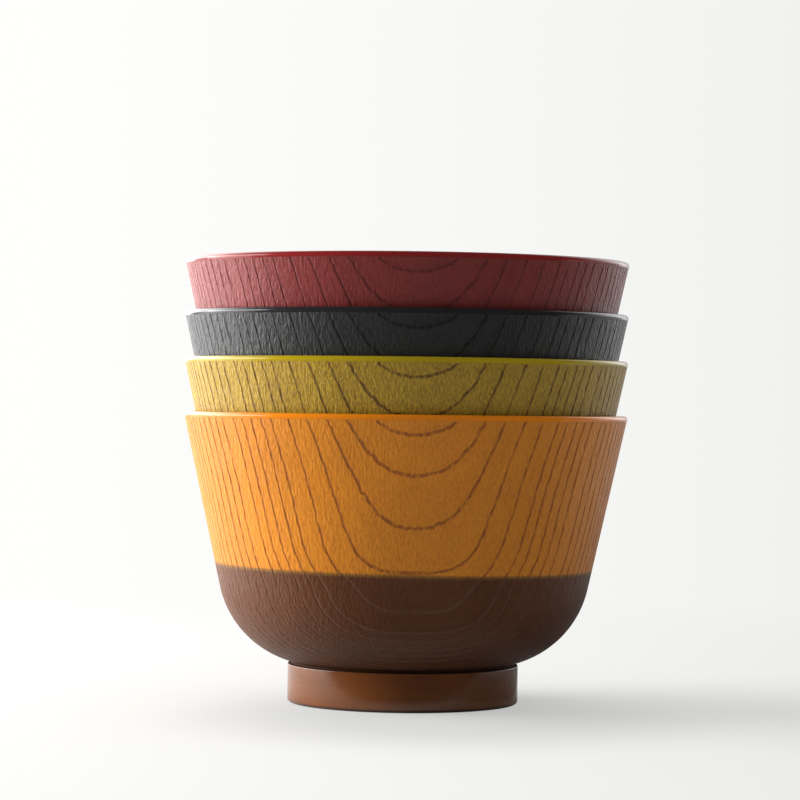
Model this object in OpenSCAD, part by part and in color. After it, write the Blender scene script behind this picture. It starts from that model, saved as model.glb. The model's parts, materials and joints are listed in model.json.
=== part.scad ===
// Stack of four nesting soup bowls, lacquered in two tones over a moulded wood grain.
// Every bowl is the same turned form in another colour. Lengths are millimetres.
// The origin is the middle of the lowest foot ring's underside, with +Z up the common axis.

/* [Bowl] */
// Diameter over the widest point of the lip
rim_d = 112; // [106:0.5:118]
// Height of one bowl from the table to the top of its lip
bowl_h = 73; // [68:0.1:80]
// Lean of the straight wall away from upright, in degrees
wall_lean = 12.4; // [11:0.1:14]
// Radius of the rounded belly between the wall and the foot
belly_r = 25; // [22:0.5:30]
// Height of the parting line between the upper colour and the brown
parting_h = 34.4; // [28:0.2:42]

/* [Foot ring] */
// Outer diameter of the foot ring
foot_d = 58.2; // [52:0.2:62]
// Height of the foot ring's side
foot_h = 9.8; // [8:0.1:11]
// Width of the foot ring, seen from below
foot_w = 3.6; // [3:0.1:5]
// How far the hollow inside the foot ring ends below the top of the ring's side
hollow_drop = 0.6; // [0:0.1:1.2]
// Radius on the two lower edges of the foot ring
foot_edge_r = 0.9; // [0.4:0.1:1.2]
// Radius on the upper edge of the foot ring
foot_shoulder_r = 0.5; // [0.2:0.1:0.7]
// Height of the fine undercut between the foot ring's side and the belly
undercut_h = 0.7; // [0.5:0.1:1.2]
// Depth of that undercut
undercut = 0.8; // [0.4:0.1:1.4]
// Radius in the corner of the hollow
hollow_r = 1.6; // [0.6:0.1:3]

/* [Nest] */
// Height of the orange bowl's floor, on which the olive bowl stands
orange_floor_h = 13.7; // [12.4:0.1:15]
// Height of the olive bowl's floor, on which the black bowl stands
olive_floor_h = 11.6; // [11.4:0.1:14]
// Height of the black bowl's floor, on which the red bowl stands
black_floor_h = 13.2; // [12.4:0.1:15]
// Height of the red bowl's floor
red_floor_h = 12.8; // [11.4:0.1:15]
// Least clearance between the walls of two nested bowls, square to the wall
nest_gap = 0.4; // [0.3:0.1:0.6]
// Room left round the next bowl's foot on the flat of the floor
seat_gap = 0.4; // [0.2:0.1:1]

/* [Lip] */
// Radius on the outer edge of the lip
lip_r = 0.8; // [0.4:0.1:1.2]
// Radius on the inner edge of the lip
lip_inner_r = 0.6; // [0.3:0.1:1]

/* [Hidden] */

// Segments round a bowl
around = 180;
// Largest distance between a round stretch of the outline and its chords
arc_sag = 0.01;

// Heights of the four feet: every bowl stands on the floor of the one below
olive_rise = orange_floor_h;
black_rise = olive_rise + olive_floor_h;
red_rise = black_rise + black_floor_h;

rim_r = rim_d / 2;
foot_r = foot_d / 2;
hollow_h = foot_h - hollow_drop;

// Height at which the belly would reach the side of the foot ring
junction_h = foot_h + undercut_h;

// What the lowest floor leaves between two leaning walls, less their clearance
wall_t = min(orange_floor_h, olive_floor_h, black_floor_h) * sin(wall_lean) - nest_gap;

// Edge radii, held under half of the wall that carries them
lip_outer = min(lip_r, 0.45 * wall_t);
lip_inner = min(lip_inner_r, 0.45 * wall_t);
foot_edge = min(foot_edge_r, 0.45 * foot_w);

// Directions of the wall: up along it, and square to it towards the outside
wall_up = [sin(wall_lean), cos(wall_lean)];
wall_out = [cos(wall_lean), -sin(wall_lean)];

// The outer wall starts where it touches the lip's outer round
lip_centre = [rim_r - lip_outer, bowl_h - lip_outer];
outer_wall_top = lip_centre + lip_outer * wall_out;

// The inner wall runs beside it, and meets the lip's inner round
inner_line = outer_wall_top - wall_t * wall_out;
inner_centre_line = inner_line + lip_inner * wall_out;
inner_run = (bowl_h - lip_inner - inner_centre_line[1]) / wall_up[1];
lip_inner_centre = inner_centre_line + inner_run * wall_up;

// Centre of a circle of radius r that touches the wall line through top and passes through a low point
function belly_centre(top, r, low) =
    let (start = top - r * wall_out, gap = start - low, b = gap * wall_up)
    start + (-b + sqrt(b * b - gap * gap + r * r)) * wall_up;

// Outside, the belly passes through the foot's side at the junction height
belly_c = belly_centre(outer_wall_top, belly_r, [foot_r, junction_h]);

// Inside, the curve ends on the flat floor, clear of the next bowl's foot
inner_r = belly_r - wall_t;
seat_r = foot_r + seat_gap;

// Direction from a centre to a point, in degrees
function bearing(centre, point) = atan2(point[1] - centre[1], point[0] - centre[0]);

// Points along an arc from one direction to another
function arc(centre, r, from, to) =
    let (step = 2 * acos(1 - arc_sag / r), steps = max(2, ceil(abs(to - from) / step)))
    [for (i = [0 : steps]) let (a = from + (to - from) * i / steps) centre + r * [cos(a), sin(a)]];

// Underside of the belly where the undercut ends
neck_r = foot_r - undercut;
neck_z = belly_c[1] - sqrt(pow(belly_r, 2) - pow(neck_r - belly_c[0], 2));

hollow_side = foot_r - foot_w;

// Half of a bowl's section: from the axis under the floor, out and up to the lip and back down inside
function outline(floor_h) =
    let (seat = [seat_r, floor_h], inner_c = belly_centre(inner_line, inner_r, seat))
    concat(
        [[0, hollow_h]],
        arc([hollow_side - hollow_r, hollow_h - hollow_r], hollow_r, 90, 0),
        arc([hollow_side + foot_edge, foot_edge], foot_edge, 180, 270),
        arc([foot_r - foot_edge, foot_edge], foot_edge, -90, 0),
        arc([foot_r - foot_shoulder_r, foot_h - foot_shoulder_r], foot_shoulder_r, 0, 90),
        [[neck_r, foot_h]],
        arc(belly_c, belly_r, bearing(belly_c, [neck_r, neck_z]), -wall_lean),
        arc(lip_centre, lip_outer, -wall_lean, 90),
        arc(lip_inner_centre, lip_inner, 90, 180 - wall_lean),
        arc(inner_c, inner_r, -wall_lean, bearing(inner_c, seat)),
        [[0, floor_h]]
    );

brown = [0.27, 0.16, 0.1];

// The part of the section above or below the parting line
module section(floor_h, above) {
    intersection() {
        polygon(outline(floor_h));
        translate([0, above ? parting_h : 0]) square([rim_r, above ? bowl_h : parting_h]);
    }
}

// One bowl at its place in the stack
module bowl(rise, floor_h, upper_colour) {
    translate([0, 0, rise]) {
        color(upper_colour) rotate_extrude($fn = around) section(floor_h, true);
        color(brown) rotate_extrude($fn = around) section(floor_h, false);
    }
}

module orange_bowl() {
    bowl(0, orange_floor_h, [0.86, 0.5, 0.1]);
}

module olive_bowl() {
    bowl(olive_rise, olive_floor_h, [0.66, 0.57, 0.14]);
}

module black_bowl() {
    bowl(black_rise, black_floor_h, [0.14, 0.14, 0.14]);
}

module red_bowl() {
    bowl(red_rise, red_floor_h, [0.5, 0.11, 0.11]);
}

orange_bowl();
olive_bowl();
black_bowl();
red_bowl();
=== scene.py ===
import json
import math

import bpy
import numpy as np
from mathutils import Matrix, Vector, kdtree, noise
from mathutils.geometry import delaunay_2d_cdt


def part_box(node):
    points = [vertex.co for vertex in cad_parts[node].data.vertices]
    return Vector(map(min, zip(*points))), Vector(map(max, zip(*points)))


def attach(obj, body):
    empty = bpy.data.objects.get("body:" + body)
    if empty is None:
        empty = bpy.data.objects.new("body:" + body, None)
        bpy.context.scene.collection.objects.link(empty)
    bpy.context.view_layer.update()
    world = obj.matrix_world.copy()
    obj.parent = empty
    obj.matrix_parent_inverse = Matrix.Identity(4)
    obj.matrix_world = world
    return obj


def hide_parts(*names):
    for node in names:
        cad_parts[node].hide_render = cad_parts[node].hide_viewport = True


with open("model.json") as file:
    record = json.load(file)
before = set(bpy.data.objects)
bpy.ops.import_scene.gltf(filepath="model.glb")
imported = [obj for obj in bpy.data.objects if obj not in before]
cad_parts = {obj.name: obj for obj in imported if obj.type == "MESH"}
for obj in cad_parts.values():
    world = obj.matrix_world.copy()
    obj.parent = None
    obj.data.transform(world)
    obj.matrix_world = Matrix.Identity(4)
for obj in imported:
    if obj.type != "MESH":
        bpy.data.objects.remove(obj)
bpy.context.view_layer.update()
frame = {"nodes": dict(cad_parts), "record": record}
mm = 0.001
print("frame loaded:", ", ".join(sorted(frame["nodes"])))

# The turned form of a bowl. Lengths are millimetres, and heights start under its foot.
lowCorner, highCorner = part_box("orange_bowl")
bowlForm = {
    "rimRadius": min(highCorner.x, highCorner.y) / mm - 0.01,  # just inside the CAD lip
    "height": (highCorner.z - lowCorner.z) / mm,
    "wallLean": math.radians(12.4),  # away from upright
    "wallThickness": 2.09,
    "bellyRadius": 25.0,
    "junctionHeight": 10.5,  # where the belly would reach the foot's side
    "lipRound": 0.8,
    "lipInnerRound": 0.6,
    "lipBand": 1.35,  # smooth band over the grained wall
    "lipProud": 0.06,  # how far that band stands out
    "footRadius": 29.1,
    "footHeight": 9.8,
    "footWidth": 3.6,
    "footEdge": 0.9,
    "footShoulder": 0.3,
    "undercut": 0.8,
    "hollowHeight": 9.2,
    "hollowCorner": 1.6,
    "seatRadius": 29.5,  # flat of the floor
    "around": 360,  # segments round a bowl
}

lean = bowlForm["wallLean"]
wallUp = Vector((math.sin(lean), math.cos(lean)))
wallOut = Vector((math.cos(lean), -math.sin(lean)))
quarter = math.pi / 2


def bellyCentre(top, radius, low):  # the circle touches the wall line through top and passes through low
    start = top - radius * wallOut
    gap = start - low
    along = gap.dot(wallUp)
    return start + wallUp * (-along + math.sqrt(along**2 - gap.length_squared + radius**2))


def arc(centre, radius, start, end, sharpest=math.radians(6)):
    steps = max(2, math.ceil(abs(end - start) / sharpest))
    angles = [start + (end - start) * i / steps for i in range(steps + 1)]
    return [centre + radius * Vector((math.cos(a), math.sin(a))) for a in angles]


def straight(start, end, longest=4.0):  # the points between two ends, which aren't among them
    steps = max(1, math.ceil((end - start).length / longest))
    return [start.lerp(end, i / steps) for i in range(1, steps)]


lipCentre = Vector((bowlForm["rimRadius"], bowlForm["height"])) - Vector((1, 1)) * bowlForm["lipRound"]
wallTop = lipCentre + bowlForm["lipRound"] * wallOut
junction = Vector((bowlForm["footRadius"], bowlForm["junctionHeight"]))
belly = bellyCentre(wallTop, bowlForm["bellyRadius"], junction)
bandRun = (bowlForm["height"] - bowlForm["lipBand"] - wallTop.y) / wallUp.y
skinTop = wallTop + bandRun * wallUp
wallLength = (skinTop - belly).dot(wallUp)
neckRadius = bowlForm["footRadius"] - bowlForm["undercut"]
neckAngle = -math.acos((neckRadius - belly.x) / bowlForm["bellyRadius"])
skinLength = wallLength + bowlForm["bellyRadius"] * (-lean - neckAngle)


def skinSection(down):  # place and outward direction on the grained skin, this far below the lip band
    if down < wallLength:
        out = wallOut
        place = skinTop - down * wallUp
    else:
        angle = -lean - (down - wallLength) / bowlForm["bellyRadius"]
        out = Vector((math.cos(angle), math.sin(angle)))
        place = belly + bowlForm["bellyRadius"] * out
    return place - bowlForm["lipProud"] * out, out


def turned(section, azimuth):  # azimuth 0 faces -Y and grows towards +X
    return (section.x * math.sin(azimuth), -section.x * math.cos(azimuth), section.y)


# The moulded wood grain: growth rings of a trunk that stands in front of the bowl, cut by its skin
frontRings = (50.27, 49.4, 48.4, 47.0, 45.3, 43.4, 42.1, 40.5, 38.95, 37.2, 34.4, 32.4, 30.2, 27.9, 25.6)
grain = {
    "turn": math.radians(3.0),  # the middle of the front arcs, off the front
    "bow": 340.0,  # flattens the rings towards the sides
    "bowGrowth": 0.0000255,  # more of that higher up
    "middle": 40.0,  # height that these changes start from
    "taper": 0.171,  # rings grow thinner up the bowl
    "taperEase": 0.00052,
    "shift": 1.69,  # how far the rings jump at the parting line
    "shiftHeight": 34.5,
    "shiftReach": 2.5,
    "spacing": 2.15,  # between the rings behind the front ones
    "unevenness": ((0.3, 2.3), (0.25, 5.1)),  # size and pace of the waves in that spacing
    "flatBottom": 0.83,  # how far the front arcs are pushed up in their middle
    "flatLoss": 0.0165,  # less of that higher up
    "flatWidth": 12.0,
    "slowWaver": 0.45,
    "slowSize": 17.0,
    "slowRise": 0.5,  # slower still up the bowl
    "quickWaver": 0.2,
    "quickGirth": 0.9,  # size of the quick wavers round the bowl
    "quickRise": 2.2,  # and up the bowl
    "frontCalm": 0.12,  # share of them that is left in front
    "margin": 0.2,  # kept free at the lip band and at the neck
}


def ringLevels():
    levels = list(frontRings)
    while levels[-1] > -bowlForm["rimRadius"]:
        unevenness = sum(size * math.sin(pace * len(levels)) for size, pace in grain["unevenness"])
        levels.append(levels[-1] - grain["spacing"] - unevenness)
    return levels


def ringValue(azimuth, down):
    place, out = skinSection(down)
    turn = azimuth - grain["turn"]
    forward = place.x * math.cos(turn)
    sideways = place.x * math.sin(turn)
    rise = place.y - grain["middle"]
    value = forward + sideways**2 * (1 / grain["bow"] + grain["bowGrowth"] * rise)
    value += grain["taperEase"] * rise**2 - grain["taper"] * rise
    value -= grain["shift"] / (1 + math.exp((place.y - grain["shiftHeight"]) / grain["shiftReach"]))
    if forward > 0:
        push = grain["flatBottom"] - grain["flatLoss"] * rise
        value -= push * math.exp(-(sideways / grain["flatWidth"]) ** 2)
    spot = Vector((sideways, forward, grain["slowRise"] * place.y)) / grain["slowSize"]
    side = abs(math.sin(turn))
    value += grain["slowWaver"] * side * noise.noise(spot)
    stretched = place.y * grain["quickGirth"] / grain["quickRise"]
    spot = Vector((sideways, forward, stretched)) / grain["quickGirth"]
    calm = grain["frontCalm"]
    return value + grain["quickWaver"] * (calm + (1 - calm) * side) * noise.noise(spot)


def ringSlope(azimuth, down, reach=0.04):  # change of the ring value per mm, round the bowl and down it
    girth = skinSection(down)[0].x
    across = ringValue(azimuth + reach / girth, down) - ringValue(azimuth - reach / girth, down)
    along = ringValue(azimuth, down + reach) - ringValue(azimuth, down - reach)
    return Vector((across, along)) / (2 * reach)


# A groove runs along its ring, one short step after the other
trace = {
    "step": 0.55,
    "mostSteps": 900,
    "flattest": 0.002,  # square of the least slope that counts
    "pull": 0.4,  # back to the ring, at most, as a share of a step
    "inset": 0.01,  # of the first point from the margin
    "scans": 1440,  # round the lip for the first points
    "apart": 2.0,  # closer first points on one ring are the same groove
    "shortest": 4.0,
}


def traceGroove(level, azimuth, down):
    path = []
    heading = Vector((0, 1))
    lowest = skinLength - grain["margin"]
    while grain["margin"] <= down <= lowest and len(path) < trace["mostSteps"]:
        slope = ringSlope(azimuth, down)
        tangent = Vector((-slope.y, slope.x)).normalized()
        if tangent.dot(heading) < 0:
            tangent.negate()
        path.append((azimuth, down, tangent))
        heading = tangent
        girth = skinSection(down)[0].x
        ahead = trace["step"] * tangent
        azimuth += ahead.x / girth
        down += ahead.y
        back = (level - ringValue(azimuth, down)) / max(slope.length_squared, trace["flattest"]) * slope
        back *= min(1, trace["pull"] * trace["step"] / max(back.length, 1e-9))
        azimuth += back.x / girth
        down += back.y
    return path


def grooveStarts(levels):  # where the rings cross the top of the skin
    top = grain["margin"] + trace["inset"]
    scans = trace["scans"]
    angles = [2 * math.pi * i / scans - math.pi for i in range(scans + 1)]
    values = [ringValue(a, top) for a in angles]
    starts = []
    for i in range(scans):
        for level in levels:
            if min(values[i], values[i + 1]) <= level < max(values[i], values[i + 1]):
                share = (level - values[i]) / (values[i + 1] - values[i])
                starts.append((level, angles[i] + share * (angles[i + 1] - angles[i])))
    return starts, top


def grooves():
    starts, top = grooveStarts(ringLevels())
    paths = []
    used = []
    for level, azimuth in starts:
        ends = [end for usedLevel, end in used if usedLevel == level]
        if any(abs(azimuth - end) * bowlForm["rimRadius"] < trace["apart"] for end in ends):
            continue
        path = traceGroove(level, azimuth, top)
        used += [(level, azimuth), (level, path[-1][0])]
        if len(path) * trace["step"] > trace["shortest"]:
            paths.append(path)
    return paths


# The skin is laid out flat as a ring without stretching its angles, so its triangles stay well shaped
downTable = np.linspace(0, skinLength, 600)
girthTable = np.array([skinSection(float(d))[0].x for d in downTable])
shrink = np.concatenate(([0], np.cumsum(np.diff(downTable) * 2 / (girthTable[1:] + girthTable[:-1]))))
flatTable = np.exp(-shrink)


def laidFlat(azimuth, down):
    radius = float(np.interp(down, downTable, flatTable))
    return Vector((radius * math.sin(azimuth), radius * math.cos(azimuth)))


# The grooves' own shape, and the even points between them
carving = {
    "width": 0.8,
    "depth": 0.13,
    "force": 0.75,  # depth changes along a groove, as a share of the full one
    "forceWaves": ((0.45, 5.0), (0.3, 1.1)),  # strength and size
    "leastForce": 0.35,
    "leastWidth": 0.55,  # shares of the width
    "forceWidth": 0.45,
    "frontWidth": 0.5,  # added in front
    "frontReach": 16.0,
    "lattice": 1.7,  # between even points
    "latticeRow": 0.87,  # between their rows, as a share of that
    "latticeGap": 0.42,  # and their least distance from a groove
}


def addRims(spots, edges):  # closed rows of points at the lip band and at the neck
    around = bowlForm["around"]
    for down in (0, skinLength):
        first = len(spots)
        spots += [(2 * math.pi * i / around, down, 0.0, 0.0) for i in range(around)]
        edges += [(first + i, first + (i + 1) % around) for i in range(around)]


def grooveForce(spot):
    waves = (size * noise.noise(spot / reach) for size, reach in carving["forceWaves"])
    return min(1, max(carving["leastForce"], sum(waves, carving["force"])))


def addGrooves(spots, edges):  # three rows of points along each groove, of which the middle one is sunk
    for path in grooves():
        for side in (-1, 0, 1):
            first = len(spots)
            for azimuth, down, tangent in path:
                girth = skinSection(down)[0].x
                spot = Vector((girth * math.sin(azimuth), girth * math.cos(azimuth), down))
                force = grooveForce(spot)
                nearFront = math.exp(-(spot.x / carving["frontReach"]) ** 2) * (spot.y > 0)
                share = carving["leastWidth"] + carving["forceWidth"] * force
                half = side * 0.5 * carving["width"] * (share + carving["frontWidth"] * nearFront)
                deep = force * (side == 0)
                across = (azimuth + tangent.y * half / girth, down - tangent.x * half)
                spots.append((*across, deep * carving["depth"], deep))
            edges += [(i, i + 1) for i in range(first, len(spots) - 1)]


def addLattice(spots):  # even points on the plain skin, clear of the grooves
    taken = kdtree.KDTree(len(spots))
    for i, (azimuth, down, sink, force) in enumerate(spots):
        taken.insert(turned(skinSection(down)[0], azimuth), i)
    taken.balance()
    rows = round(skinLength / (carving["latticeRow"] * carving["lattice"]))
    for row in range(1, rows):
        down = skinLength * row / rows
        section = skinSection(down)[0]
        count = round(2 * math.pi * section.x / carving["lattice"])
        for i in range(count):
            azimuth = 2 * math.pi * (i + 0.5 * (row % 2)) / count
            nearest = taken.find(turned(section, azimuth))[2]
            if nearest > carving["latticeGap"] * carving["lattice"]:
                spots.append((azimuth, down, 0.0, 0.0))


def engravedSkin():
    spots = []  # azimuth, way down, sink and groove strength of every point
    edges = []
    addRims(spots, edges)
    addGrooves(spots, edges)
    addLattice(spots)
    flat, flatEdges, faces, origins, *rest = delaunay_2d_cdt(
        [laidFlat(spot[0], spot[1]) for spot in spots], edges, [], 0, 1e-6)
    lowest = flatTable[-1] * 1.00001
    hole = {i for i, place in enumerate(flat) if place.length < lowest}
    made = {"spots": [], "faces": [f for f in faces if not hole.issuperset(f)], "top": {}, "bottom": {}}
    around = bowlForm["around"]
    for i, (place, origin) in enumerate(zip(flat, origins)):
        if origin:
            spot = spots[origin[0]]
        else:  # a crossing that the triangulation added
            down = float(np.interp(-place.length, -flatTable, downTable))
            spot = (math.atan2(place.x, place.y), down, 0.0, 0.0)
        made["spots"].append(spot)
        for k in origin:
            if k < around:
                made["top"][k] = i
            elif k < 2 * around:
                made["bottom"][k - around] = i
    made["rings"] = [ringValue(azimuth, down) for azimuth, down, *rest in made["spots"]]
    return made


skin = engravedSkin()
print("skin engraved:", len(skin["spots"]), "points,", len(skin["faces"]), "faces")

zones = {"skin": 0, "gloss": 1, "foot": 2}  # material places


def footSection():  # from the neck down, under the foot ring and up into its hollow
    form = bowlForm
    side = form["footRadius"]
    edge = form["footEdge"]
    shoulder = form["footShoulder"]
    hollowSide = side - form["footWidth"]
    corner = form["hollowCorner"]
    hollow = form["hollowHeight"]
    points = [Vector((neckRadius, form["footHeight"]))]
    points += arc(Vector((side - shoulder, form["footHeight"] - shoulder)), shoulder, quarter, 0)
    points += straight(points[-1], Vector((side, edge)), 2.5)
    points += arc(Vector((side - edge, edge)), edge, 0, -quarter)
    points += arc(Vector((hollowSide + edge, edge)), edge, -quarter, -2 * quarter)
    points += straight(points[-1], Vector((hollowSide, hollow - corner)), 2.5)
    points += arc(Vector((hollowSide - corner, hollow - corner)), corner, 0, quarter)
    return points + straight(points[-1], Vector((0, hollow))) + [Vector((0, hollow))]


def glossSection(floorHeight):  # from the grained skin over the lip and down the inside to the floor
    form = bowlForm
    innerLine = wallTop - form["wallThickness"] * wallOut
    roundLine = innerLine + form["lipInnerRound"] * wallOut
    run = (form["height"] - form["lipInnerRound"] - roundLine.y) / wallUp.y
    seat = Vector((form["seatRadius"], floorHeight))
    innerRadius = form["bellyRadius"] - form["wallThickness"]
    innerBelly = bellyCentre(innerLine, innerRadius, seat)
    seatAngle = math.atan2(seat.y - innerBelly.y, seat.x - innerBelly.x)
    points = [skinTop]
    points += arc(lipCentre, form["lipRound"], -lean, quarter)
    points += arc(roundLine + run * wallUp, form["lipInnerRound"], quarter, 2 * quarter - lean)
    points += straight(points[-1], innerBelly + innerRadius * wallOut)
    points += arc(innerBelly, innerRadius, -lean, seatAngle, math.radians(3))
    return points + straight(points[-1], Vector((0, floorHeight))) + [Vector((0, floorHeight))]


def addRows(shell, section, row, zone, towards):  # turns a section, whose first row is there already
    around = bowlForm["around"]
    along = shell["along"][row[0]]
    before = shell["sections"][row[0]]
    for place in section:
        along += towards * (place - before).length
        before = place
        first = len(shell["points"])
        count = around if place.x > 0 else 1
        for i in range(count):
            azimuth = 2 * math.pi * i / around
            shell["points"].append(turned(place, azimuth))
            shell["azimuths"].append(azimuth)
            shell["along"].append(along)
            shell["sections"].append(place)
        nextRow = [first + i % count for i in range(around)]
        for i in range(around):
            k = (i + 1) % around
            corners = (row[i], row[k], nextRow[k], nextRow[i])
            corners = corners[:3] if count == 1 else corners
            shell["faces"].append(corners if towards > 0 else corners[::-1])  # outward on both sides
            shell["zones"].append(zones[zone])
        row = nextRow


# Each zone gets a disc in the unit square of the bake map, the gloss and the foot inside the ring of the
# skin
bakeDiscs = {
    "skinMiddle": 0.5,
    "skinRadii": (0.495, 0.27),  # at the lip band and at the neck
    "glossMiddle": 0.395,
    "glossRadius": 0.15,
    "footMiddle": 0.655,
    "footRadius": 0.1,
}


def bakePlaces(shell, corners, cornerZones):
    azimuths = np.array(shell["azimuths"])[corners]
    along = np.array(shell["along"])[corners]
    floor = max(shell["along"])
    hollow = min(shell["along"])
    middles = np.choose(cornerZones, [bakeDiscs[f"{zone}Middle"] for zone in zones])
    radii = np.choose(cornerZones, (
        np.interp(-along, (0, skinLength), bakeDiscs["skinRadii"]),
        np.interp(along, (0, floor), (bakeDiscs["glossRadius"], 0)),
        np.interp(along, (hollow, -skinLength), (0, bakeDiscs["footRadius"]))))
    return np.column_stack((middles + radii * np.sin(azimuths), 0.5 + radii * np.cos(azimuths)))


def bowlShell(floorHeight):
    shell = {"points": [], "azimuths": [], "along": [], "sections": [], "faces": [], "zones": []}
    for azimuth, down, sink, force in skin["spots"]:
        place, out = skinSection(down)
        shell["points"].append(turned(place - sink * out, azimuth))
        shell["azimuths"].append(azimuth)
        shell["along"].append(-down)
        shell["sections"].append(place)
    shell["faces"] += skin["faces"]
    shell["zones"] += [zones["skin"]] * len(skin["faces"])
    around = range(bowlForm["around"])
    addRows(shell, glossSection(floorHeight), [skin["top"][i] for i in around], "gloss", 1)
    addRows(shell, footSection(), [skin["bottom"][i] for i in around], "foot", -1)
    return shell


def makeBowl(name, rise, floorHeight, materials):
    shell = bowlShell(floorHeight)
    mesh = bpy.data.meshes.new(name)
    mesh.from_pydata([(mm * x, mm * y, mm * z) for x, y, z in shell["points"]], [], shell["faces"])
    for material in materials:
        mesh.materials.append(material)
    mesh.polygons.foreach_set("material_index", shell["zones"])
    plain = [0.0] * (len(shell["points"]) - len(skin["spots"]))
    patterns = {"groove": [spot[3] for spot in skin["spots"]], "ring": skin["rings"]}
    for pattern, values in patterns.items():
        mesh.attributes.new(pattern, "FLOAT", "POINT").data.foreach_set("value", values + plain)

    sizes = np.zeros(len(mesh.polygons), int)
    mesh.polygons.foreach_get("loop_total", sizes)
    corners = np.zeros(len(mesh.loops), int)
    mesh.loops.foreach_get("vertex_index", corners)
    places = bakePlaces(shell, corners, np.repeat(shell["zones"], sizes))
    mesh.uv_layers.new(name="OFBake").data.foreach_set("uv", places.astype(np.float32).ravel())
    mesh.shade_smooth()
    mesh.set_sharp_from_angle(angle=math.radians(9))

    bowl = bpy.data.objects.new(name, mesh)
    bowl.location = (0, 0, rise * mm)
    bpy.context.scene.collection.objects.link(bowl)
    return bowl


# Node helpers
def addNode(tree, kind, inputs=None, **settings):
    made = tree.nodes.new("ShaderNode" + kind)
    for name, value in settings.items():
        setattr(made, name, value)
    for name, value in (inputs or {}).items():
        if isinstance(value, bpy.types.NodeSocket):
            tree.links.new(value, made.inputs[name])
        else:
            made.inputs[name].default_value = value
    return made


def sums(tree, operation, first, second=0.0, third=0.0, clamp=False):
    values = {0: first, 1: second, 2: third}
    return addNode(tree, "Math", values, operation=operation, use_clamp=clamp).outputs[0]


def ramp(tree, value, low, high, toLow=0.0, toHigh=1.0, smooth=False):
    kind = "SMOOTHSTEP" if smooth else "LINEAR"
    values = {"Value": value, "From Min": low, "From Max": high, "To Min": toLow, "To Max": toHigh}
    return addNode(tree, "MapRange", values, interpolation_type=kind).outputs["Result"]


def blend(tree, factor, first, second, mode="MIX"):
    made = addNode(tree, "Mix", data_type="RGBA", blend_type=mode)
    for place, value in ((0, factor), (6, first), (7, second)):
        if isinstance(value, bpy.types.NodeSocket):
            tree.links.new(value, made.inputs[place])
        else:
            made.inputs[place].default_value = value if place == 0 else (*value, 1)
    return made.outputs[2]


def noiseAt(tree, place, scale, detail=2.0, roughness=0.5):  # scale is spots per metre in each direction
    stretched = addNode(tree, "Mapping", {"Vector": place, "Scale": scale}).outputs["Vector"]
    values = {"Vector": stretched, "Scale": 1.0, "Detail": detail, "Roughness": roughness}
    return addNode(tree, "TexNoise", values).outputs["Fac"]


def newMaterial(name):
    material = bpy.data.materials.new(name)
    material.use_nodes = True
    tree = material.node_tree
    return material, tree, tree.nodes["Principled BSDF"]


# The two-tone grained lacquer on the outside of a bowl. Places and depths are metres
brownLacquer = {
    "plain": (0.088, 0.025, 0.006),
    "dark": (0.046, 0.014, 0.004),
    "pale": (0.105, 0.037, 0.014),
    # In the brown the grooves are paler than the lacquer: painted sheen on their edges
    "groove": (0.11, 0.052, 0.029),
    "fibre": 0.35,  # strength of the dark strokes, the pale rings and the pale groove lines, which are painted sheen
    "growth": 0.45,
    "pigment": 0.5,
    "paintedShadeStart": 0.026,  # painted shade: the belly darkens from here down to the foot
    "paintedShadeEnd": 0.010,
    "paintedShadeMost": 0.45,
    "partingHeight": 0.0344,
    "partingTilt": math.tan(math.radians(0.8)),  # lower on the right
    "partingSoftness": 0.0007,
    "partingWaver": 0.0007,
    "partingEdge": (0.10, 0.062, 0.012),  # where the two colours overlap
    "partingBlend": 0.7,
}

# The fine pattern in the lacquer, in spots per metre
finePattern = {
    "strokeRise": 620,
    "fleck": (1500, 1500, 150),
    "cloud": (60, 60, 30),
    "vein": (1200, 1200, 450),
    "veinDepth": 1.4,  # against the flecks
    "strokeDepth": 0.7,
    "ringPace": 1.7,  # spots per millimetre across the rings
    "ringRise": 45.0,
    "ringSide": 25.0,
    "cloudShade": (0.93, 1.07),
    "strokeRoughness": 0.16,
    "pigmentRoughness": 0.15,
}


def growthTone(tree, axes):  # soft bands that follow the rings
    ring = addNode(tree, "Attribute", attribute_name="ring").outputs["Fac"]
    place = addNode(tree, "CombineXYZ", {
        0: sums(tree, "MULTIPLY", ring, finePattern["ringPace"]),
        1: sums(tree, "MULTIPLY", axes["Z"], finePattern["ringRise"]),
        2: sums(tree, "MULTIPLY", axes["X"], finePattern["ringSide"])}).outputs[0]
    values = {"Vector": place, "Scale": 1.0, "Detail": 3.0, "Roughness": 0.6}
    growth = addNode(tree, "TexNoise", values).outputs["Fac"]
    return ramp(tree, growth, 0.35, 0.7)


def pigmentAndSheenIn(tree, look, fleck):  # the groove fill lies in short strokes: dark pigment above the parting, painted sheen in the brown
    groove = addNode(tree, "Attribute", attribute_name="groove").outputs["Fac"]
    filled = ramp(tree, groove, 0.0, look["pigmentDepth"])
    broken = ramp(tree, fleck, 0.36, 0.56, 0.35, 1.0)
    return sums(tree, "MULTIPLY", filled, broken, clamp=True)


def lacquerTone(tree, look, strokes, growth):
    colour = blend(tree, sums(tree, "MULTIPLY", strokes, look["fibre"]), look["plain"], look["dark"])
    return blend(tree, sums(tree, "MULTIPLY", growth, look["growth"]), colour, look["pale"])


# Colours the grooves: with real pigment on the upper colours and with painted sheen on the brown
def addPigmentAndSheen(tree, look, pigment, colour):
    return blend(tree, sums(tree, "MULTIPLY", pigment, look["pigment"]), colour, look["groove"])


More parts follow.
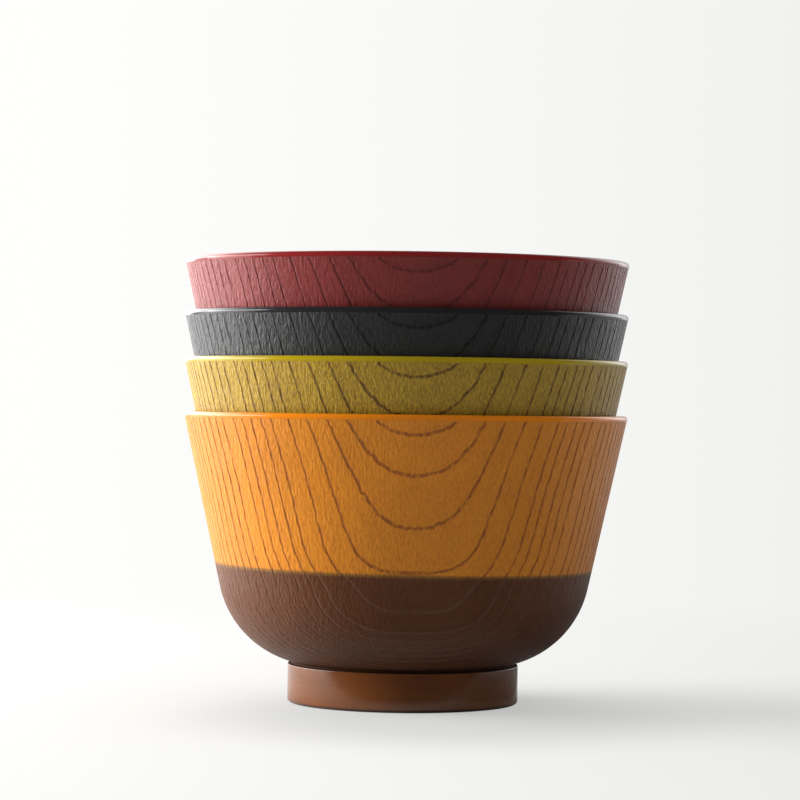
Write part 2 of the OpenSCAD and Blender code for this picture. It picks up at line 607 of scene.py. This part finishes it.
def partedColour(tree, axes, fleck, lower, upper):  # brown below the parting line
    brown = brownLacquer
    level = sums(tree, "MULTIPLY_ADD", axes["X"], brown["partingTilt"], axes["Z"])
    waver = sums(tree, "SUBTRACT", fleck, 0.5)
    level = sums(tree, "MULTIPLY_ADD", waver, brown["partingWaver"], level)
    low = brown["partingHeight"] - brown["partingSoftness"]
    high = brown["partingHeight"] + brown["partingSoftness"]
    above = ramp(tree, level, low, high, smooth=True)
    overlap = sums(tree, "PINGPONG", sums(tree, "MULTIPLY", above, 2.0), 1.0)
    overlap = sums(tree, "MULTIPLY", overlap, brown["partingBlend"])
    return blend(tree, overlap, blend(tree, above, lower, upper), brown["partingEdge"])


def grainedLacquer(name, look):
    brown = brownLacquer
    material, tree, shader = newMaterial(name)
    place = addNode(tree, "TexCoord").outputs["Object"]
    axes = addNode(tree, "SeparateXYZ", {0: place}).outputs
    strokeScale = (look["strokes"], look["strokes"], finePattern["strokeRise"])
    fibre = noiseAt(tree, place, strokeScale, 3.0, 0.6)  # short and upright
    fleck = noiseAt(tree, place, finePattern["fleck"], 2.0, 0.6)
    cloud = noiseAt(tree, place, finePattern["cloud"], 2.0, 0.5)
    strokes = ramp(tree, fibre, 0.41, 0.6)
    growth = growthTone(tree, axes)
    pigment = pigmentAndSheenIn(tree, look, fleck)

    upper = addPigmentAndSheen(tree, look, pigment, lacquerTone(tree, look, strokes, growth))
    lower = lacquerTone(tree, brown, strokes, growth)
    # Painted shade: the brown grows darker down the belly towards the foot
    low = ramp(tree, axes["Z"], brown["paintedShadeStart"], brown["paintedShadeEnd"], 0.0, brown["paintedShadeMost"])
    # The brown's paler groove lines are painted sheen
    lower = addPigmentAndSheen(tree, brown, pigment, blend(tree, low, lower, brown["dark"]))
    colour = partedColour(tree, axes, fleck, lower, upper)
    shade = ramp(tree, cloud, 0.3, 0.7, *finePattern["cloudShade"])
    grey = addNode(tree, "CombineXYZ", {0: shade, 1: shade, 2: shade}).outputs[0]
    tree.links.new(blend(tree, 1.0, colour, grey, "MULTIPLY"), shader.inputs["Base Color"])

    shader.inputs["Specular IOR Level"].default_value = look["sheen"]
    rough = sums(tree, "MULTIPLY_ADD", fibre, finePattern["strokeRoughness"], look["roughness"])
    rough = sums(tree, "MULTIPLY_ADD", pigment, finePattern["pigmentRoughness"], rough)
    tree.links.new(rough, shader.inputs["Roughness"])
    vein = noiseAt(tree, place, finePattern["vein"], 2.0, 0.55)
    height = sums(tree, "MULTIPLY_ADD", fibre, finePattern["strokeDepth"], fleck)
    height = sums(tree, "MULTIPLY_ADD", vein, finePattern["veinDepth"], height)
    bump = addNode(tree, "Bump", {"Height": height, "Distance": look["relief"], "Strength": 1.0})
    tree.links.new(bump.outputs["Normal"], shader.inputs["Normal"])
    return material


# The gloss coat of the lip and the inside
glossCoat = {
    "cloud": (90, 90, 90),  # spots per metre
    "cloudTint": 0.18,
    "dust": (700, 700, 700),
    "roughness": (0.13, 0.2),
    "sheen": 0.42,
    "relief": 0.00002,
}


def glossLacquer(name, look):
    material, tree, shader = newMaterial(name)
    place = addNode(tree, "TexCoord").outputs["Object"]
    cloud = noiseAt(tree, place, glossCoat["cloud"], 3.0, 0.55)
    tint = ramp(tree, cloud, 0.3, 0.7, 0.0, glossCoat["cloudTint"])
    tree.links.new(blend(tree, tint, look["gloss"], look["glossDark"]), shader.inputs["Base Color"])
    dust = noiseAt(tree, place, glossCoat["dust"], 2.0, 0.5)
    rough = ramp(tree, dust, 0.3, 0.7, *glossCoat["roughness"])
    tree.links.new(rough, shader.inputs["Roughness"])
    shader.inputs["Specular IOR Level"].default_value = glossCoat["sheen"]
    bump = addNode(tree, "Bump", {"Height": cloud, "Distance": glossCoat["relief"], "Strength": 1.0})
    tree.links.new(bump.outputs["Normal"], shader.inputs["Normal"])
    return material


# The smooth brown foot ring and its hollow. Heights are metres
footLook = {
    "plain": (0.145, 0.043, 0.008),
    "dark": (0.095, 0.027, 0.005),
    "cloud": (80, 80, 160),  # spots per metre
    "cloudMost": 0.6,  # share of the dark tone in the clouds and in the turning marks
    "turning": (40, 40, 2600),
    "turningMost": 0.35,
    "turningDepth": 0.000004,
    "edge": (0.03, 0.010, 0.004),  # painted shade along the lower edge, up to its height
    "edgeShadeHeight": 0.001,
    "edgeShadeFull": 0.3,  # it is darkest up to this share of that height
    "creaseHeight": 0.0095,  # from here up lies the crease under the belly, dull and darkened with painted shade
    "creaseBlend": 0.0002,
    "roughness": (0.12, 0.15),
    "creaseRoughness": 0.5,
    "sheen": 0.85,
    "creaseSheen": 0.05,
}


def footLacquer(name):
    foot = footLook
    material, tree, shader = newMaterial(name)
    place = addNode(tree, "TexCoord").outputs["Object"]
    cloud = noiseAt(tree, place, foot["cloud"], 3.0, 0.6)
    turning = noiseAt(tree, place, foot["turning"], 2.0, 0.5)
    tone = ramp(tree, cloud, 0.35, 0.7, 0.0, foot["cloudMost"])
    tone = sums(tree, "MULTIPLY_ADD", ramp(tree, turning, 0.35, 0.65), foot["turningMost"], tone)
    height = addNode(tree, "SeparateXYZ", {0: place}).outputs["Z"]
    # Painted shade along the foot's lower edge, where it meets the table
    edge = ramp(tree, height, foot["edgeShadeHeight"], foot["edgeShadeFull"] * foot["edgeShadeHeight"], smooth=True)
    # Painted shade in the crease under the belly, which takes the same dark colour
    crease = ramp(tree, height, foot["creaseHeight"], foot["creaseHeight"] + foot["creaseBlend"])
    edge = sums(tree, "MAXIMUM", edge, crease)
    colour = blend(tree, tone, foot["plain"], foot["dark"])
    tree.links.new(blend(tree, edge, colour, foot["edge"]), shader.inputs["Base Color"])
    sheen = ramp(tree, crease, 0.0, 1.0, foot["sheen"], foot["creaseSheen"])
    tree.links.new(sheen, shader.inputs["Specular IOR Level"])
    rough = ramp(tree, cloud, 0.3, 0.7, *foot["roughness"])
    rough = sums(tree, "MULTIPLY_ADD", crease, foot["creaseRoughness"], rough)
    tree.links.new(rough, shader.inputs["Roughness"])
    bump = addNode(tree, "Bump", {"Height": turning, "Distance": foot["turningDepth"], "Strength": 1.0})
    tree.links.new(bump.outputs["Normal"], shader.inputs["Normal"])
    return material


# Linear colours of the four bowls
lacquers = {
    "orange": {
        "plain": (0.51, 0.17, 0.003), "dark": (0.40, 0.12, 0.002), "pale": (0.54, 0.195, 0.005),
        "groove": (0.19, 0.045, 0.003), "gloss": (0.56, 0.16, 0.003), "glossDark": (0.50, 0.125, 0.002),
        "strokes": 2500, "fibre": 0.85, "growth": 0.35, "roughness": 0.33, "relief": 0.00014, "sheen": 0.35,
        "pigment": 0.8, "pigmentDepth": 0.22,
    },
    "olive": {
        "plain": (0.34, 0.21, 0.010), "dark": (0.16, 0.085, 0.006), "pale": (0.37, 0.25, 0.02),
        "groove": (0.075, 0.03, 0.005), "gloss": (0.30, 0.215, 0.004), "glossDark": (0.26, 0.18, 0.003),
        "strokes": 3300, "fibre": 0.8, "growth": 0.25, "roughness": 0.36, "relief": 0.0002, "sheen": 0.35,
        "pigment": 0.85, "pigmentDepth": 0.4,
    },
    "black": {
        "plain": (0.024, 0.024, 0.023), "dark": (0.013, 0.013, 0.013), "pale": (0.032, 0.032, 0.033),
        "groove": (0.004, 0.004, 0.004), "gloss": (0.014, 0.014, 0.014), "glossDark": (0.009, 0.009, 0.009),
        "strokes": 2500, "fibre": 0.7, "growth": 0.4, "roughness": 0.33, "relief": 0.00017, "sheen": 0.45,
        "pigment": 0.7, "pigmentDepth": 0.45,
    },
    "red": {
        "plain": (0.165, 0.020, 0.018), "dark": (0.12, 0.013, 0.011), "pale": (0.21, 0.034, 0.030),
        "groove": (0.06, 0.004, 0.004), "gloss": (0.18, 0.012, 0.012), "glossDark": (0.14, 0.006, 0.006),
        "strokes": 2500, "fibre": 0.6, "growth": 0.35, "roughness": 0.33, "relief": 0.00012, "sheen": 0.35,
        "pigment": 0.65, "pigmentDepth": 0.45,
    },
}

order = list(lacquers)
rises = [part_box(f"{colour}_bowl")[0].z / mm for colour in order]
seatMount = next(m for m in frame["record"]["mounts"] if m["name"] == "bowl_seat")
floorHeights = [high - low for low, high in zip(rises, rises[1:] + [seatMount["pos_m"][2] / mm])]

footMaterial = footLacquer("brownFootLacquer")
for colour, rise, floorHeight in zip(order, rises, floorHeights):
    look = lacquers[colour]
    wallMaterial = grainedLacquer(f"{colour}GrainedLacquer", look)
    glossMaterial = glossLacquer(f"{colour}GlossLacquer", look)
    piece = makeBowl(f"{colour}LacquerBowl", rise, floorHeight, (wallMaterial, glossMaterial, footMaterial))
    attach(piece, f"{colour}_bowl")
    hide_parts(f"{colour}_bowl")
    print("bowl made:", piece.name, len(piece.data.polygons), "faces, foot at", round(rise, 2), "mm")

# The pale table top
tableTop = {
    "radius": 1.6,
    "colour": (0.62, 0.62, 0.61),
    "paintedShadowColour": (0.38, 0.38, 0.37),  # painted shadow, close in front of the foot
    "paintedShadowMiddle": (0.01, -0.045, 0),
    "paintedShadowStart": 0.08,
    "paintedShadowEnd": 0.02,
    "roughness": 0.5,
    "fadeStart": 0.14,  # metres from the middle, where the table starts to fade into the background
    "fadeEnd": 0.45,
    "frontMirror": (0.03, 0.03, 0.03),  # painted dark reflection: what gloss sees of the table in front and in its shadow
    "mirrorStart": -0.036,
    "mirrorEnd": -0.06,
    "shadowStart": 0.03,
    "shadowEnd": 0.17,
    # Painted light: the background's colour at the left, near the panel, and at the right
    "left": (1.0, 1.0, 0.99),
    "right": (0.88, 0.885, 0.87),
    "sideWidth": 0.1,  # half the picture's width at the axis, and how it grows behind it
    "sideSpread": 0.13,
    "shadowMirror": 0.8,
}


# The background is painted lighter at the left, towards the panel, and greyer at the right: painted light
def backgroundColour(tree, side):  # side runs from -1 at the left of the picture to 1 at the right
    return blend(tree, ramp(tree, side, -0.9, 1.0), tableTop["left"], tableTop["right"])


def makeTable():
    mesh = bpy.data.meshes.new("tableTop")
    count = 96
    points = [(math.cos(2 * math.pi * i / count), math.sin(2 * math.pi * i / count)) for i in range(count)]
    mesh.from_pydata([(tableTop["radius"] * x, tableTop["radius"] * y, 0) for x, y in points], [],
                     [tuple(range(count))])
    table = bpy.data.objects.new("tableTop", mesh)
    bpy.context.scene.collection.objects.link(table)
    material, tree, shader = newMaterial("paleTable")
    shader.inputs["Roughness"].default_value = tableTop["roughness"]
    shader.inputs["Specular IOR Level"].default_value = 0.0
    place = addNode(tree, "TexCoord").outputs["Object"]
    axes = addNode(tree, "SeparateXYZ", {0: place}).outputs
    distance = addNode(tree, "VectorMath", {0: place}, operation="LENGTH").outputs["Value"]
    # For the camera the table is half glow of the background colour even at the middle, which lightens its
    # shadow: painted light
    fade = ramp(tree, distance, tableTop["fadeStart"], tableTop["fadeEnd"], 0.5, 1.0, smooth=True)
    paths = addNode(tree, "LightPath").outputs
    seen = paths["Is Camera Ray"]
    # Gloss sees the table painted dark in front of the foot and in its shadow to the right: painted
    # reflection
    front = ramp(tree, axes["Y"], tableTop["mirrorStart"], tableTop["mirrorEnd"], smooth=True)
    shadow = ramp(tree, axes["X"], tableTop["shadowStart"], tableTop["shadowStart"] + 0.02, smooth=True)
    gone = ramp(tree, axes["X"], tableTop["shadowEnd"], tableTop["shadowEnd"] + 0.08, smooth=True)
    shadow = sums(tree, "SUBTRACT", shadow, gone, clamp=True)
    front = sums(tree, "MAXIMUM", front, sums(tree, "MULTIPLY", shadow, tableTop["shadowMirror"]))
    front = sums(tree, "MULTIPLY", front, paths["Is Glossy Ray"])
    # Painted shadow on the table close in front of the foot
    ends = {0: place, 1: tableTop["paintedShadowMiddle"]}
    away = addNode(tree, "VectorMath", ends, operation="DISTANCE").outputs["Value"]
    paintedShadow = ramp(tree, away, tableTop["paintedShadowStart"], tableTop["paintedShadowEnd"], smooth=True)
    colour = blend(tree, paintedShadow, tableTop["colour"], tableTop["paintedShadowColour"])
    tree.links.new(blend(tree, front, colour, tableTop["frontMirror"]), shader.inputs["Base Color"])
    width = sums(tree, "MULTIPLY_ADD", axes["Y"], tableTop["sideSpread"], tableTop["sideWidth"])
    side = sums(tree, "DIVIDE", axes["X"], width)
    glow = addNode(tree, "Emission", {"Color": backgroundColour(tree, side), "Strength": 1.0})
    mixed = addNode(tree, "MixShader", {0: sums(tree, "MULTIPLY", fade, seen)})
    tree.links.new(shader.outputs[0], mixed.inputs[1])
    tree.links.new(glow.outputs[0], mixed.inputs[2])
    tree.links.new(mixed.outputs[0], tree.nodes["Material Output"].inputs["Surface"])
    mesh.materials.append(material)
    return table


makeTable()

# Soft studio light: a low wide panel on the left, in a room that gloss sees dim in front and bright behind
studio = {
    "panelPlace": (-0.72, 0.13, 0.2),
    "panelSize": (0.66, 0.38),  # along Y and up
    "panelPower": 6.0,
    "fillPower": 13.0,  # of a second one there, which gloss doesn't see
    "roomFront": 0.38,
    "roomBack": 0.6,
    "roomTop": 0.6,
    "mirrorFront": 0.03,
    "mirrorLeft": 7.0,
    "mirrorMiddle": 0.8,
    "mirrorRight": 2.8,
}


def addPanel(name, place, target, size, power):
    light = bpy.data.lights.new(name, "AREA")
    light.shape = "RECTANGLE"
    light.size, light.size_y = size
    light.energy = power
    panel = bpy.data.objects.new(name, light)
    panel.location = place
    panel.rotation_euler = (Vector(target) - Vector(place)).to_track_quat("-Z", "Y").to_euler()
    panel.visible_camera = False
    bpy.context.scene.collection.objects.link(panel)
    return panel


panelTarget = (0, *studio["panelPlace"][1:])
addPanel("leftPanel", studio["panelPlace"], panelTarget, studio["panelSize"], studio["panelPower"])
fill = addPanel("leftFill", studio["panelPlace"], panelTarget, studio["panelSize"], studio["fillPower"])
fill.visible_glossy = False


def makeRoom():
    world = bpy.data.worlds.new("studioRoom")
    bpy.context.scene.world = world
    world.use_nodes = True
    tree = world.node_tree
    direction = addNode(tree, "TexCoord").outputs["Generated"]
    axes = addNode(tree, "SeparateXYZ", {0: direction}).outputs
    paths = addNode(tree, "LightPath").outputs
    light = ramp(tree, axes["Y"], -0.3, 0.6, studio["roomFront"], studio["roomBack"], smooth=True)
    above = ramp(tree, axes["Z"], 0.3, 0.9, 0, studio["roomTop"], smooth=True)
    light = sums(tree, "ADD", light, above)
    mirror = ramp(tree, axes["X"], -0.9, 0.1, studio["mirrorLeft"], studio["mirrorMiddle"], smooth=True)
    rise = studio["mirrorRight"] - studio["mirrorMiddle"]
    mirror = sums(tree, "ADD", mirror, ramp(tree, axes["X"], 0.25, 0.6, 0, rise, smooth=True))
    behind = ramp(tree, axes["Y"], 0.13, 0.8, smooth=True)
    mirror = sums(tree, "MAXIMUM", sums(tree, "MULTIPLY", mirror, behind), studio["mirrorFront"])
    mixed = {"Factor": paths["Is Glossy Ray"], "A": light, "B": mirror}
    light = addNode(tree, "Mix", mixed).outputs["Result"]
    room = addNode(tree, "CombineXYZ", {0: light, 1: light, 2: light}).outputs[0]
    seen = backgroundColour(tree, sums(tree, "DIVIDE", axes["X"], tableTop["sideSpread"]))
    room = blend(tree, paths["Is Camera Ray"], room, seen)
    tree.links.new(room, tree.nodes["Background"].inputs["Color"])


makeRoom()
print("table and studio made")

# The camera stands level, a little turned about its own line of sight
camera = {
    "place": (-0.0015, -0.78, 0.0764),
    "lens": 138.66,
    "roll": -math.radians(0.7),
}
cameraData = bpy.data.cameras.new("viewCamera")
cameraData.lens = camera["lens"]
cameraData.sensor_width = 36
viewCamera = bpy.data.objects.new("viewCamera", cameraData)
viewCamera.location = camera["place"]
viewCamera.rotation_euler = (quarter, camera["roll"], 0)
bpy.context.scene.collection.objects.link(viewCamera)
bpy.context.scene.camera = viewCamera
bpy.context.scene.view_settings.view_transform = "Standard"
